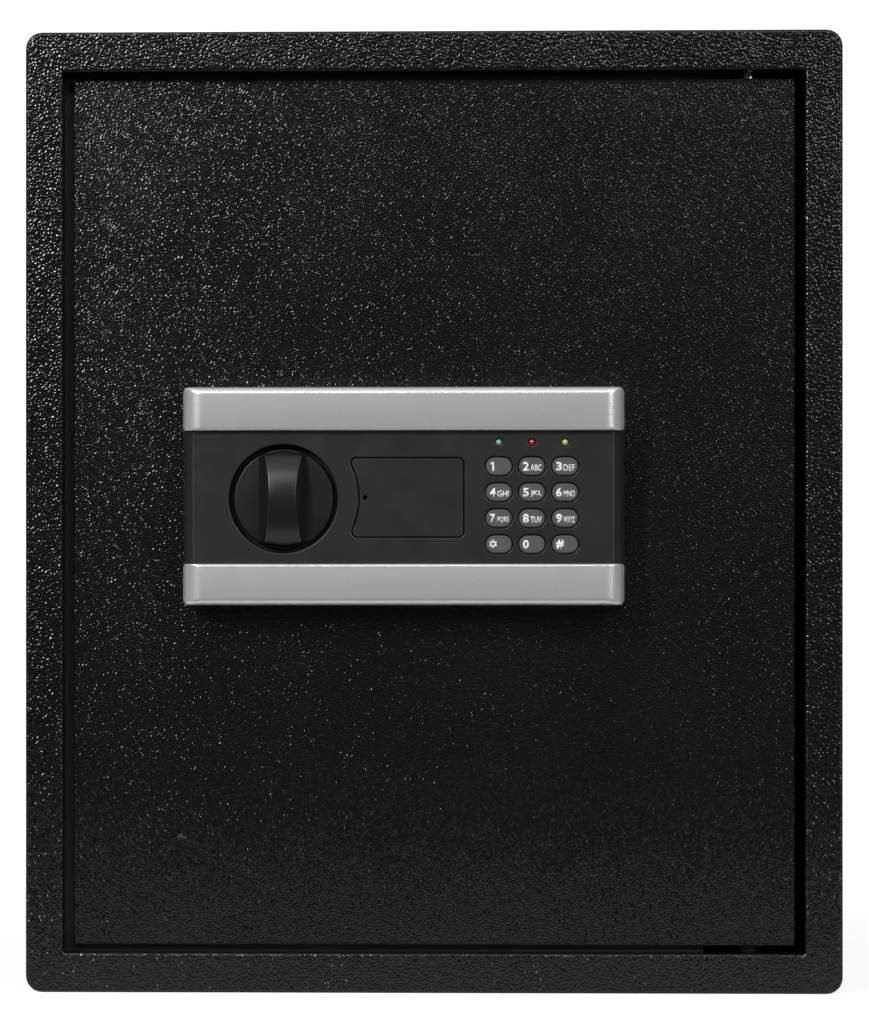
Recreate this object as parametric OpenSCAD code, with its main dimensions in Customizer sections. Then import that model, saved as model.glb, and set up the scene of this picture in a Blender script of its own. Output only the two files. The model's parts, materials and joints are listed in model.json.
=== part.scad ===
// Electronic safe deposit box: a welded steel cabinet whose recessed door carries a keypad
// panel with a turning knob, a key override lock, and the bolt work behind an inner cover.
// +Z is up, the front faces -Y, and the origin is under the middle of the whole box.

/* [Cabinet] */
// Width of the cabinet
body_w = 350; // [330:1:420]
// Height of the cabinet
body_h = 412; // [390:1:520]
// Depth of the cabinet, front frame to back panel
body_d = 330; // [260:1:400]
// Radius of the four long corners
corner_r = 7; // [4:0.5:12]
// Thickness of the cabinet's steel sheet
sheet_t = 2; // [1.5:0.1:2.5]
// Width of the front frame's sides seen from the front
frame_w = 16; // [14:0.5:20]
// Height of the front frame's top and bottom seen from the front
rail_w = 17; // [15:0.5:20]
// Depth of the frame's side returns
side_return_d = 14; // [13.5:0.1:14.5]
// Depth of the frame's top and bottom returns, which hold the hinge pins
rail_return_d = 28; // [24:0.5:40]
// Inner corner radius of the front frame
frame_inner_r = 1; // [0.5:0.5:5]
// Spacing of the floor anchor holes across the cabinet
base_hole_dx = 220; // [160:1:240]
// Spacing of the floor anchor holes front to back
base_hole_dy = 150; // [100:1:170]
// Spacing of the two wall anchor holes
back_hole_dx = 220; // [160:1:240]
// Height of the wall anchor holes
back_hole_z = 290; // [240:1:340]
// Radius of every anchor hole
anchor_r = 5.5; // [4:0.1:6.5]

/* [Door] */
// Thickness of the door plate
door_t = 4; // [3:0.5:5]
// How far the door face lies behind the frame face
door_recess = 8; // [6:0.5:9]
// Gap between the door and each side of the frame
door_side_gap = 4; // [3:0.1:5]
// Gap between the door and the frame's top and bottom
door_end_gap = 3; // [2:0.1:4]
// Corner radius of the door plate
door_corner_r = 1; // [0.5:0.5:4]
// Lap of the door stop over the edge of the door
stop_lap = 6; // [4:0.5:7]
// Thickness of the door stop strip
stop_t = 2; // [1.5:0.1:2.5]

/* [Hinge] */
// Distance of the hinge axis from the door's right edge
hinge_inset = 19.6; // [17:0.1:21]
// Distance of the hinge axis behind the door plate
hinge_back = 6; // [5:0.5:7]
// Radius of the hinge pins
pin_r = 3; // [2.5:0.1:3.5]
// Height of the hinge lugs
lug_h = 20; // [14:1:30]
// Length of each hinge pin beyond its lug
pin_reach = 9; // [7:0.5:10]

/* [Panel] */
// Width of the control panel
panel_w = 188.6; // [180:0.2:200]
// Height of the control panel
panel_h = 93; // [92:0.2:100]
// Panel centre to the right of the door centre
panel_dx = -12.5; // [-18:0.1:-8]
// Panel centre above the cabinet centre
panel_dz = 6.6; // [0:0.1:12]
// Height of the silver bars above the door
bar_t = 20; // [19.5:0.5:22]
// Height of the black face above the door
face_t = 17; // [16.5:0.1:17.5]
// Front to back radius of the panel's ends
end_r = 7; // [5:0.5:9]
// Radius of the bars' long outer edges
edge_r = 2.5; // [1.5:0.1:3.5]
// Height of the top bar
top_bar_h = 18.5; // [17:0.1:19.5]
// Height of the bottom bar
low_bar_h = 17.6; // [16:0.1:19]
// Wall of the silver bars
bar_wall = 2.3; // [1.8:0.1:2.6]
// Wall of the black housing
housing_wall = 2.5; // [2:0.1:3]

/* [Knob] */
// Knob axis to the right of the panel centre
knob_dx = -51.2; // [-54:0.1:-50]
// Knob axis above the panel centre
knob_dz = -1.1; // [-1.5:0.1:0.5]
// Radius of the knob's disc
knob_r = 21.5; // [20:0.1:22.5]
// Gap round the disc in its recess
knob_gap = 1.75; // [1:0.05:2]
// Depth of the knob recess below the black face
knob_recess = 8; // [7:0.5:9]
// Height of the disc's face above the door
disc_t = 14; // [13:0.5:15]
// Height of the grip's crown above the door
grip_t = 24; // [22:0.5:26]
// Width of the grip at its ends
grip_end_w = 18.6; // [15:0.1:20]
// Width of the grip at its waist
grip_mid_w = 11.9; // [9:0.1:14]
// Radius of the knob's spindle
spindle_r = 4; // [3:0.1:5]

/* [Override lock] */
// Override cover's centre to the right of the panel centre
cover_dx = 1.7; // [0:0.1:2.5]
// Override cover's centre above the panel centre
cover_dz = -0.6; // [-2:0.1:1]
// Width of the override cover at its corners
cover_w = 47.8; // [46:0.1:50]
// Height of the override cover
cover_h = 33.3; // [30:0.1:38]
// Radius of the cover's hollow left side, about the knob axis
cover_arc_r = 32.7; // [32:0.1:34]
// Gap round the override cover
cover_gap = 0.5; // [0.35:0.05:0.8]
// Thickness of the override cover
cover_t = 1.2; // [1:0.1:1.3]
// Radius of the lock barrel
barrel_r = 9; // [8:0.1:10]
// Radius of the turning lock plug
plug_r = 5.5; // [5:0.1:6]
// Offset of the plug's tail pin, which lifts and lowers the override link
tail_r = 2.83; // [2.6:0.01:3]

/* [Keypad] */
// Width of a key cap
key_w = 11; // [10:0.1:11.5]
// Height of a key cap
key_h = 7.5; // [6.5:0.1:8]
// Gap round a key cap
key_gap = 0.45; // [0.35:0.05:0.6]
// Key spacing across
key_px = 14.1; // [13.9:0.05:14.6]
// Key spacing up and down
key_pz = 11.07; // [10.9:0.01:11.3]
// Middle column of keys to the right of the panel centre
keys_dx = 54.9; // [53:0.1:57]
// Middle of the keys above the panel centre
keys_dz = -4; // [-5:0.1:-3.5]
// Travel of a key
key_travel = 1; // [0.5:0.1:1.3]
// Lamp row above the panel centre
lamp_dz = 22.9; // [22.5:0.1:24]
// Radius of a lamp
lamp_r = 1.5; // [1.2:0.1:1.8]

/* [Bolt work] */
// Radius of the locking bolts
bolt_r = 9; // [7:0.5:9]
// Height of each locking bolt above or below the knob axis
bolt_dz = 80; // [70:1:95]
// Distance of the drawn-back bolt tips from the door's left edge
bolt_set_back = 7.5; // [7:0.1:10]
// Radius at which the crank pin turns
crank_r = 12; // [11:0.5:13]
// Radius of the crank pin
crank_pin_r = 3; // [2.5:0.1:3.2]
// Thickness of the bolt carriage
carriage_t = 3; // [2.5:0.1:3.5]
// Radius of the solenoid plunger
plunger_r = 4; // [3:0.1:4.5]
// Travel of the solenoid plunger
plunger_travel = 4; // [3:0.1:4]

/* [Inner cover] */
// Depth of the inner cover behind the door
inner_d = 46; // [42:1:50]
// Sheet thickness of the inner cover
inner_t = 1.2; // [1:0.1:1.5]
// Height of the inner cover
inner_h = 288; // [260:1:300]
// Number of batteries side by side
battery_count = 4; // [4:1:4]
// Radius of a battery
battery_r = 7.2; // [7:0.05:7.25]
// Length of a battery's case
battery_len = 49; // [48:0.5:50]

/* [Inside] */
// Height of the shelf's underside
shelf_z = 213.3; // [180:1:235]
// Thickness of the shelf sheet
shelf_t = 1.5; // [1:0.1:2]
// Height of the shelf's turned-down front and rear edges
shelf_lip = 15; // [10:1:25]
// Thickness of the floor and shelf mats
mat_t = 2.5; // [2:0.1:4]

/* [Hidden] */

$fn = 48;
ARC_STEPS = 6; // straight steps in a rounded corner of an outline
HOLLOW_STEPS = 16; // straight steps along the override cover's hollow side
FINE = 96; // facets of the grip's large curves
CUT = 1; // overshoot of a cutting solid past the face that it cuts
SEAM = 0.01; // keeps a fully rounded end from meeting itself
AIR = 0.3; // gap between pieces that move past each other
RUN = 0.05; // radial gap of a pin in its hole
SLIDE = 0.25; // gap of a pin or a stud in its slot

front_y = -(body_d + grip_t - door_recess) / 2 + grip_t - door_recess;
back_y = front_y + body_d;
mid_z = body_h / 2;
base_hole_shift = 15; // floor anchor holes behind the middle of the body
base_hole_y = front_y + body_d / 2 + base_hole_shift;
open_w = body_w - 2 * frame_w;
open_h = body_h - 2 * rail_w;

door_front = front_y + door_recess;
door_rear = door_front + door_t;
door_w = open_w - 2 * door_side_gap;
door_h = open_h - 2 * door_end_gap;
stop_y = door_rear + AIR;
stop_reach = door_side_gap + stop_lap;
stop_end_reach = door_end_gap + stop_lap;
hinge_x = door_w / 2 - hinge_inset;
hinge_y = door_rear + hinge_back;
stop_end_x = hinge_x - hinge_inset;
lug_edge = 11; // door edge kept free beside each hinge lug
lug_w = 2 * (hinge_inset - lug_edge);
lug_d = 2 * hinge_back;

panel_x = panel_dx;
panel_z = mid_z + panel_dz;
panel_low = panel_z - panel_h / 2;
panel_top = panel_z + panel_h / 2;
face_low = panel_low + low_bar_h;
face_top = panel_top - top_bar_h;
skin_t = face_t - housing_wall; // underside of the panel's front skin
boss_r = 4;
screw_r = 1.6;
screw_head_r = 3.2;
screw_head_t = 2;
screw_inset = 8.5;
screw_grip = 8; // length of a panel screw in front of the door
bevel = 0.8;
cup_wall = 2; // wall of the cups under the knob and under the override cover
wire_hole_r = 6;
wire_hole_dz = 16; // wire hole above the panel's lower edge

kx = panel_x + knob_dx;
kz = panel_z + knob_dz;
recess_r = knob_r + knob_gap;
recess_floor = face_t - knob_recess;
hub_r = 7;
hub_low = 3;
spindle_cap = 2; // knob face in front of the spindle's end
crank_front = 4;
crank_back = 8;
crank_rim = 5; // crank disc beyond the crank pin's axis
pin_proud = 2; // crank pin beyond the carriage
crank_play = 0.5; // the pin's arc strays up to 0.35 mm from the carriage's even run
grip_inset = 0.5;
grip_len = 2 * (knob_r - grip_inset);
waist_sag = (grip_end_w - grip_mid_w) / 2;
waist_r = (grip_len * grip_len / 4 + waist_sag * waist_sag) / (2 * waist_sag);
arch_sag = grip_t - disc_t;
arch_r = (grip_len * grip_len / 4 + arch_sag * arch_sag) / (2 * arch_sag);

lx = panel_x + cover_dx;
lz = panel_z + cover_dz;
cover_corner_r = 2;
dimple_dx = 17.9;
dimple_r = 1;
pocket_depth = 3;
pocket_floor = face_t - pocket_depth;
flange_rim = 2.5; // barrel's flange beyond its body
flange_r = barrel_r + flange_rim;
flange_t = 1.3;
barrel_back = 18;
plug_back = 20;
tail_pin_r = 2.5;
tail_len = 4;
keyway_w = 2;
keyway_h = 6.5;
keyway_depth = 8;
nut_t = 5;
nut_r = 1.5 * barrel_r; // to the corners of the hexagon

keys_x = panel_x + keys_dx;
keys_z = panel_z + keys_dz;
ROW_MIDDLE = 1.5; // the rows count down from 0, so the middle lies between rows 1 and 2
key_top = face_t + 0.9;
key_flange = 1; // foot of a key beyond its cap
key_foot_t = 1.5;
key_stem_w = 5;
key_edge = 0.5; // rounding of a cap's upper edge
key_land = 0.1;
lamp_foot = 0.4;
lamp_foot_t = 1;
lamp_drop = 1; // centre of the dome below the black face
lamp_room = 1; // gap round a lamp in the key mat
mat_face = 5.7;
mat_edge = 2; // board edge left free by the key mat
board_face = 4;
board_t = 1.6;
post_r = 2;
board_rim = 2.25; // board beyond the feet of the outer keys
board_w = 2 * (key_px + key_w / 2 + key_flange + board_rim);
board_h = 66;
board_lift = 3; // board's middle above the keys' middle
board_z = keys_z + board_lift;
chip_w = 12;
chip_t = 1.2;
socket_w = 10;
socket_h = 6;

throw = 2 * crank_r * sin(45);
plate_depth = 13; // middle of the bolt carriage, on the plunger's axis
plate_y = door_rear + plate_depth;
plate_reach = 34.6; // carriage plate to the left of the knob axis
plate_margin = 13; // carriage plate beyond each bolt's axis
plate_front = plate_y - carriage_t / 2;
plate_back = plate_y + carriage_t / 2;
plate_left = kx - plate_reach;
plate_low = kz - bolt_dz - plate_margin;
plate_high = kz + bolt_dz + plate_margin;
window_w = 8;
window_h = 50;
bolt_tip = -door_w / 2 + bolt_set_back;
bolt_offset = 1; // bolt axis behind the middle of the carriage
bolt_y = plate_y + bolt_offset;
bolt_chamfer = 1;
bolt_room = 1; // gap round a bolt where it leaves the inner cover
tang_len = 16;
rivet_x = plate_left + tang_len / 2;
rivet_r = 3;
rivet_proud = 4; // rivet beyond the back of the carriage
rivet_head_t = 2;
stud_dx = -10;
stud_x = kx + stud_dx;
stud_dz = 46;
stud_r = 3;
shoulder_r = 5;
stud_cap_r = 6;
stud_cap_t = 1.5;
guide_t = 2;
guide_foot = 16; // width of the guide's flange on the door
guide_rim = 5; // guide sheet behind the bolt holes
guide_set_back = 6.5; // guide from the drawn-back bolt tips
guide_x = bolt_tip + guide_set_back;

arm_drop = 51.4; // lower edge of the carriage's locking arm below the lock
arm_low = lz - arm_drop;
arm_h = 12;
notch_gap = 0.6;
relief_ramp = 4; // length of the ramp that pushes the plunger down
plunger_dx = -17.9;
plunger_x = lx + plunger_dx;
plunger_len = 38;
arm_rim = 4.5; // arm beyond the plunger's locked position
arm_right = plunger_x + throw + plunger_r + arm_rim;
collar_r = 7;
collar_t = 1.5;
collar_top = arm_low - plunger_travel - AIR;
plunger_low = arm_low - plunger_len;
spring_room = 8;
coil_top = collar_top - collar_t - spring_room;
coil_len = 34;
coil_low = coil_top - coil_len;
flange_wall = 1.5; // end flanges of the coil's bobbin
winding_inset = 1.3;
leg_t = 2;
coil_r = 10.8;
solenoid_w = 24;
solenoid_rim = 1; // frame's legs beyond the coil
ear_h = 8;
plate_clear = 2; // between the carriage and the solenoid
plate_right = plunger_x - solenoid_w / 2 - plate_clear;
link_y = door_rear + plug_back + AIR;
link_t = 2;
link_w = 18;
link_dx = -6;
link_left = lx + link_dx;
link_low = collar_top + plunger_travel + AIR; // underside of the link's foot
link_foot_h = 8;
link_head = 8; // link above the tail pin
link_stud_dx = 3;
link_stud_dz = -26;
link_stud_x = lx + link_stud_dx;
link_stud_z = lz + link_stud_dz;
link_shoulder_r = 4;
link_cap_r = 4.5;
link_cap_t = 1.5;

hinge_zone = 50.4; // door's hinge edge, left free by the inner cover
inner_lap = 3; // inner cover beyond the bolt guide
inner_left = guide_x - inner_lap;
inner_right = door_w / 2 - hinge_zone;
inner_w = inner_right - inner_left;
inner_x = (inner_left + inner_right) / 2;
inner_lift = 3;
inner_z = mid_z + inner_lift;
flap_h = 12;
inner_corner_r = 4;
inner_back = door_rear + inner_d;
cover_screw_inset = 20;
cover_screw_r = 2;
cover_screw_depth = 3;
cover_head_r = 4;
cover_head_t = 2;
box_wall = 2;
box_flange = 4;
contact_room = 3.5; // room for the spring contacts
terminal_r = 2.7;
terminal_h = 1.5;
box_play = 1;
box_w = 2 * battery_r * battery_count + box_play + 2 * box_wall;
box_h = battery_len + contact_room + 2 * box_wall;
box_d = 2 * battery_r + AIR + box_wall;
box_corner_r = 2;
box_margin = 12; // inner cover's face beside the battery box
box_drop = 75;
box_x = inner_right - box_w / 2 - box_margin;
box_z = inner_z - box_drop;
box_face = inner_back - inner_t;
lid_t = 1.6;
rib_count = 5;
rib_w = 20;
rib_h = 0.8;
rib_pitch = 2;
rib_proud = 0.6;
button_r = 4;
button_foot = 1.5; // button foot beyond the button
button_proud = 1.5;
button_x = box_x;
button_lift = 20; // button above the battery box
button_z = box_z + box_h / 2 + button_lift;

mat_gap = 4;
mat_corner_r = 2;
mat_hole_margin = 5;
mat_front = front_y + rail_return_d + mat_gap;
mat_rear = back_y - sheet_t - mat_gap;
shelf_play = 3;
shelf_clear = 24; // between the battery lid and the shelf
shelf_front = inner_back + lid_t + shelf_clear;
shelf_rear = back_y - sheet_t - shelf_play;
shelf_w = body_w - 2 * sheet_t - shelf_play;
support_h = 10;
support_w = 9;
support_t = 1.5;
support_len = 20;
support_inset = 25;

function arc(cx, cy, r, from, to, steps = ARC_STEPS) =
    [for (i = [0:steps]) let (a = from + (to - from) * i / steps)
        [cx + r * cos(a), cy + r * sin(a)]];

// Rectangle with round corners, centred
module round_rect(w, h, r) {
    polygon(concat(
        arc(w / 2 - r, h / 2 - r, r, 0, 90),
        arc(r - w / 2, h / 2 - r, r, 90, 180),
        arc(r - w / 2, r - h / 2, r, 180, 270),
        arc(w / 2 - r, r - h / 2, r, 270, 360)));
}

// An upright outline in X and Z given thickness from y0 back to y1
module slab(y0, y1) {
    translate([0, y1, 0]) rotate([90, 0, 0]) linear_extrude(y1 - y0) children();
}

// The same, measured forward from the door's face
module face_slab(t0, t1) {
    slab(door_front - t1, door_front - t0) children();
}

// The same, measured back from the door's rear
module rear_slab(d0, d1) {
    slab(door_rear + d0, door_rear + d1) children();
}

module face_rod(x, z, r, t0, t1) {
    face_slab(t0, t1) translate([x, z]) circle(r);
}

module rear_rod(x, z, r, d0, d1) {
    rear_slab(d0, d1) translate([x, z]) circle(r);
}

// A slot between two points on a level or an upright line
module slot(x0, z0, x1, z1, r) {
    translate([x0, z0]) circle(r);
    translate([x1, z1]) circle(r);
    translate([min(x0, x1) - (x0 == x1 ? r : 0), min(z0, z1) - (z0 == z1 ? r : 0)])
        square([x0 == x1 ? 2 * r : abs(x1 - x0), z0 == z1 ? 2 * r : abs(z1 - z0)]);
}

module body_outline(inset) {
    translate([0, mid_z]) round_rect(body_w - 2 * inset, body_h - 2 * inset, corner_r - inset);
}

module open_outline(grow) {
    translate([0, mid_z])
        round_rect(open_w + 2 * grow, open_h + 2 * grow, frame_inner_r + grow);
}

module anchor_holes(r) {
    for (x = [-1, 1], y = [-1, 1])
        translate([x * base_hole_dx / 2, base_hole_y + y * base_hole_dy / 2, -CUT])
            cylinder(r = r, h = sheet_t + mat_t + 2 * CUT);
}

// ---- Cabinet ----

module front_frame() color("#1d1e1e") difference() {
    union() {
        slab(front_y, front_y + sheet_t) difference() {
            body_outline(0);
            open_outline(0);
        }
        slab(front_y, front_y + side_return_d) difference() {
            open_outline(sheet_t);
            open_outline(0);
        }
        slab(front_y, front_y + rail_return_d) intersection() {
            difference() {
                open_outline(sheet_t);
                open_outline(0);
            }
            for (end = [-1, 1])
                translate([0, mid_z + end * open_h / 2])
                    square([open_w - 2 * frame_inner_r, 3 * sheet_t], center = true);
        }
    }
    translate([hinge_x, hinge_y, 0]) cylinder(r = pin_r + RUN, h = body_h);
}

module cabinet_wrap() color("#1d1e1e") difference() {
    slab(front_y + sheet_t, back_y) difference() {
        body_outline(0);
        body_outline(sheet_t);
    }
    anchor_holes(anchor_r);
}

module back_panel() color("#1d1e1e") difference() {
    slab(back_y - sheet_t, back_y) body_outline(sheet_t);
    for (x = [-1, 1])
        translate([x * back_hole_dx / 2, back_y + CUT, back_hole_z]) rotate([90, 0, 0])
            cylinder(r = anchor_r, h = sheet_t + 2 * CUT);
}

module door_stop() color("#1d1e1e") slab(stop_y, stop_y + stop_t) difference() {
    open_outline(0);
    translate([stop_reach, mid_z]) square([open_w, open_h - 2 * stop_end_reach], center = true);
    translate([stop_end_x, 0]) square([open_w, body_h]);
}

module shelf_supports() color("#1d1e1e") {
    for (side = [-1, 1], y = [shelf_front + support_inset, shelf_rear - support_inset - support_len])
        translate([side * (body_w / 2 - sheet_t), y, shelf_z - AIR]) rotate([90, 0, 180])
            linear_extrude(support_len) polygon([
                [0, 0], [side * support_w, 0], [side * support_w, -support_t],
                [side * support_t, -support_t], [side * support_t, -support_h], [0, -support_h]]);
}

module floor_mat() color("#33353a") difference() {
    translate([0, 0, sheet_t]) linear_extrude(mat_t)
        translate([0, (mat_front + mat_rear) / 2])
            round_rect(body_w - 2 * (corner_r + mat_corner_r), mat_rear - mat_front, mat_corner_r);
    anchor_holes(anchor_r + mat_hole_margin);
}

module shelf() color("#26282a") union() {
    translate([0, (shelf_front + shelf_rear) / 2, shelf_z]) linear_extrude(shelf_t)
        square([shelf_w, shelf_rear - shelf_front], center = true);
    for (y = [shelf_front, shelf_rear - shelf_t])
        translate([-shelf_w / 2, y, shelf_z + shelf_t - shelf_lip])
            cube([shelf_w, shelf_t, shelf_lip]);
}

module shelf_mat() color("#33353a")
    translate([0, (shelf_front + shelf_rear) / 2, shelf_z + shelf_t]) linear_extrude(mat_t)
        round_rect(shelf_w - 2 * mat_gap, shelf_rear - shelf_front - 2 * mat_gap, mat_corner_r);

// ---- Door and hinge ----

module panel_screw_places() {
    for (x = [-1, 1], z = [-1, 1])
        translate([panel_x + x * (panel_w / 2 - screw_inset),
            panel_z + z * (panel_h / 2 - screw_inset)]) children();
}

module cover_screw_places() {
    for (x = [-1, 1], z = [-1, 1])
        translate([inner_x + x * (inner_w / 2 - cover_screw_inset),
            inner_z + z * (inner_h + flap_h) / 2]) children();
}

module door_plate() color("#1c1d1d") difference() {
    slab(door_front, door_rear) translate([0, mid_z]) round_rect(door_w, door_h, door_corner_r);
    slab(door_front - CUT, door_rear + CUT) {
        translate([kx, kz]) circle(spindle_r + 2 * RUN);
        translate([lx, lz]) circle(barrel_r + AIR);
        translate([keys_x, panel_low + wire_hole_dz]) circle(wire_hole_r);
        panel_screw_places() circle(screw_r + AIR);
    }
    slab(door_rear - cover_screw_depth, door_rear + CUT) cover_screw_places()
        circle(cover_screw_r);
}

module hinge_lug(z0) difference() {
    translate([hinge_x - lug_w / 2, door_rear, z0]) cube([lug_w, lug_d, lug_h]);
    translate([hinge_x, hinge_y, z0 - CUT]) cylinder(r = pin_r, h = lug_h + 2 * CUT);
}

lug_low_z = mid_z - door_h / 2;
lug_high_z = mid_z + door_h / 2 - lug_h;

module hinge_lugs() color("#4a4c4d") {
    hinge_lug(lug_low_z);
    hinge_lug(lug_high_z);
}

module hinge_pin(z0) translate([hinge_x, hinge_y, z0]) cylinder(r = pin_r, h = lug_h + pin_reach);

module hinge_pin_top() color("#d0d2d4") hinge_pin(lug_high_z);

module hinge_pin_bottom() color("#d0d2d4") hinge_pin(lug_low_z - pin_reach);

module hinge_washer() color("#c9a94f") translate([hinge_x, hinge_y, rail_w + AIR]) difference() {
    cylinder(r = 2 * pin_r, h = door_end_gap - AIR);
    translate([0, 0, -CUT]) cylinder(r = pin_r + RUN, h = door_end_gap + 2 * CUT);
}

// ---- Control panel ----

// Plan of the panel with rounded ends, depth t forward of the door, from z0 up to z1
module plan_prism(w, t, r, z0, z1, open = 0) {
    translate([panel_x, door_front, z0]) linear_extrude(z1 - z0)
        polygon(concat([[-w / 2, open], [w / 2, open]],
            arc(w / 2 - r, r - t, r, 0, -90), arc(r - w / 2, r - t, r, -90, -180)));
}

// Outline of the override cover about the lock axis, with a hollow left side round the knob
module cover_outline(grow) {
    r = cover_corner_r + grow;
    right = cover_w / 2 + grow - r;
    high = cover_h / 2 + grow - r;
    hollow_r = cover_arc_r - grow;
    // angles at the knob axis up to the centres of the two left corners
    high_a = asin((high - kz + lz) / (hollow_r + r));
    low_a = asin((high + kz - lz) / (hollow_r + r));
    step = (high_a + low_a) / HOLLOW_STEPS;
    translate([lx, lz]) polygon(concat(
        arc(right, high, r, 90, 0),
        arc(right, -high, r, 0, -90),
        arc(kx - lx + (hollow_r + r) * cos(low_a), -high, r, 270, 180 - low_a),
        arc(kx - lx, kz - lz, hollow_r, step - low_a, high_a - step, HOLLOW_STEPS - 2),
        arc(kx - lx + (hollow_r + r) * cos(high_a), high, r, 180 + high_a, 90)));
}

module key_outline(grow) {
    round_rect(key_w + 2 * grow, key_h + 2 * grow, (key_h + 2 * grow) / 2 - SEAM);
}

module key_places() {
    for (col = [-1:1], row = [0:3])
        translate([keys_x + col * key_px, keys_z + (ROW_MIDDLE - row) * key_pz]) children();
}

module lamp_places() {
    for (col = [-1:1]) translate([keys_x + col * key_px, panel_z + lamp_dz]) children();
}

module post_places() {
    for (x = [-1, 1], z = [-1, 1])
        translate([keys_x + x * (board_w / 2 - post_r), board_z + z * (board_h / 2 - 1.5 * post_r)])
            children();
}

module panel_housing() color("#303131") difference() {
    union() {
        difference() {
            union() {
                plan_prism(panel_w, face_t, end_r, face_low, face_top);
                plan_prism(panel_w - 2 * bar_wall, bar_t - bar_wall, end_r - bar_wall,
                    panel_low + bar_wall, panel_top - bar_wall);
            }
            // the black face lies lower than the ends that carry the bars
            face_slab(face_t, bar_t + CUT) translate([panel_x, (face_low + face_top) / 2])
                square([panel_w + CUT, face_top - face_low], center = true);
            plan_prism(panel_w - 2 * (bar_wall + housing_wall), skin_t, end_r - bar_wall,
                panel_low + bar_wall + housing_wall, panel_top - bar_wall - housing_wall, CUT);
        }
        face_rod(kx, kz, recess_r + cup_wall, recess_floor - cup_wall, skin_t + CUT);
        face_slab(pocket_floor - cup_wall, skin_t + CUT) cover_outline(cover_gap + cup_wall);
        face_slab(0, skin_t + CUT) panel_screw_places() circle(boss_r);
        face_slab(board_face, skin_t + CUT) post_places() circle(post_r);
    }
    face_rod(kx, kz, recess_r, recess_floor, face_t + CUT);
    face_rod(kx, kz, hub_r + AIR, 0, recess_floor + CUT);
    face_slab(pocket_floor, face_t + CUT) cover_outline(cover_gap);
    face_rod(lx, lz, barrel_r + AIR, 0, face_t);
    face_slab(skin_t - CUT, face_t + CUT) {
        key_places() key_outline(key_gap);
        lamp_places() circle(lamp_r + RUN);
    }
    face_slab(-CUT, screw_grip + CUT) panel_screw_places() circle(screw_r);
}

// One silver bar; side is 1 when its long outer edge is the upper one
module silver_bar(z_in, z_out, side) {
    low = min(z_in, z_out);
    high = max(z_in, z_out);
    difference() {
        intersection() {
            plan_prism(panel_w, bar_t, end_r, low, high);
            translate([panel_x - panel_w, door_front, 0]) rotate([90, 0, 90])
                linear_extrude(2 * panel_w) polygon(concat(
                    [[CUT, z_in], [bevel - bar_t, z_in], [-bar_t, z_in + side * bevel]],
                    arc(edge_r - bar_t, z_out - side * edge_r, edge_r, 180, 180 - side * 90),
                    [[CUT, z_out]]));
            face_slab(0, bar_t) translate([panel_x, (z_out + z_in - side * 2 * edge_r) / 2])
                round_rect(panel_w, abs(z_out - z_in) + 2 * edge_r, edge_r);
        }
        plan_prism(panel_w - 2 * bar_wall, bar_t - bar_wall, end_r - bar_wall,
            side > 0 ? low - CUT : low + bar_wall, side > 0 ? high - bar_wall : high + CUT, CUT);
    }
}

module top_bar() color("#a6a8a8") silver_bar(face_top, panel_top, 1);

module bottom_bar() color("#a6a8a8") silver_bar(face_low, panel_low, -1);

module knob() color("#2b2c2c") difference() {
    union() {
        face_rod(kx, kz, knob_r, recess_floor + AIR, disc_t);
        face_rod(kx, kz, hub_r, hub_low, disc_t);
        intersection() {
            face_slab(disc_t - CUT, grip_t + CUT) translate([kx, kz]) difference() {
                square([grip_end_w, grip_len], center = true);
                for (side = [-1, 1])
                    translate([side * (grip_mid_w / 2 + waist_r), 0]) circle(waist_r, $fn = FINE);
            }
            translate([kx - grip_end_w, door_front - grip_t + arch_r, kz]) rotate([0, 90, 0])
                cylinder(r = arch_r, h = 2 * grip_end_w, $fn = FINE);
            face_rod(kx, kz, knob_r - grip_inset, disc_t - CUT, grip_t + CUT);
        }
    }
    face_rod(kx, kz, spindle_r, hub_low - CUT, disc_t - spindle_cap);
}

module knob_spindle() color("#9a9c9e")
    slab(door_front - disc_t + spindle_cap, door_rear + crank_back + CUT)
        translate([kx, kz]) circle(spindle_r);

module crank_disc() color("#8c8e90") difference() {
    union() {
        rear_rod(kx, kz, crank_r + crank_rim, crank_front, crank_back);
        rear_rod(kx + crank_r * cos(45), kz + crank_r * sin(45), crank_pin_r, crank_back - CUT,
            plate_back - door_rear + pin_proud);
    }
    rear_rod(kx, kz, spindle_r, crank_front - CUT, crank_back + CUT);
}

module override_cover() color("#2f3030") face_slab(face_t - cover_t, face_t) difference() {
    cover_outline(0);
    translate([lx - dimple_dx, lz]) circle(dimple_r);
}

module lock_barrel() color("#c4c6c8") difference() {
    union() {
        face_rod(lx, lz, flange_r, pocket_floor, pocket_floor + flange_t);
        slab(door_front - pocket_floor, door_rear + barrel_back)
            translate([lx, lz]) circle(barrel_r);
    }
    slab(door_front - face_t, door_rear + barrel_back + CUT)
        translate([lx, lz]) circle(plug_r + RUN);
}

module lock_plug() color("#b9a15a") difference() {
    union() {
        slab(door_front - pocket_floor - flange_t + AIR, door_rear + plug_back)
            translate([lx, lz]) circle(plug_r);
        rear_rod(lx + tail_r * cos(45), lz + tail_r * sin(45), tail_pin_r, plug_back - CUT,
            plug_back + tail_len);
    }
    face_slab(pocket_floor - keyway_depth, face_t) translate([lx, lz])
        square([keyway_w, keyway_h], center = true);
}

module lock_nut() color("#9a9c9e") rear_slab(0, nut_t) translate([lx, lz]) difference() {
    circle(nut_r, $fn = 6);
    circle(barrel_r);
}

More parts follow.
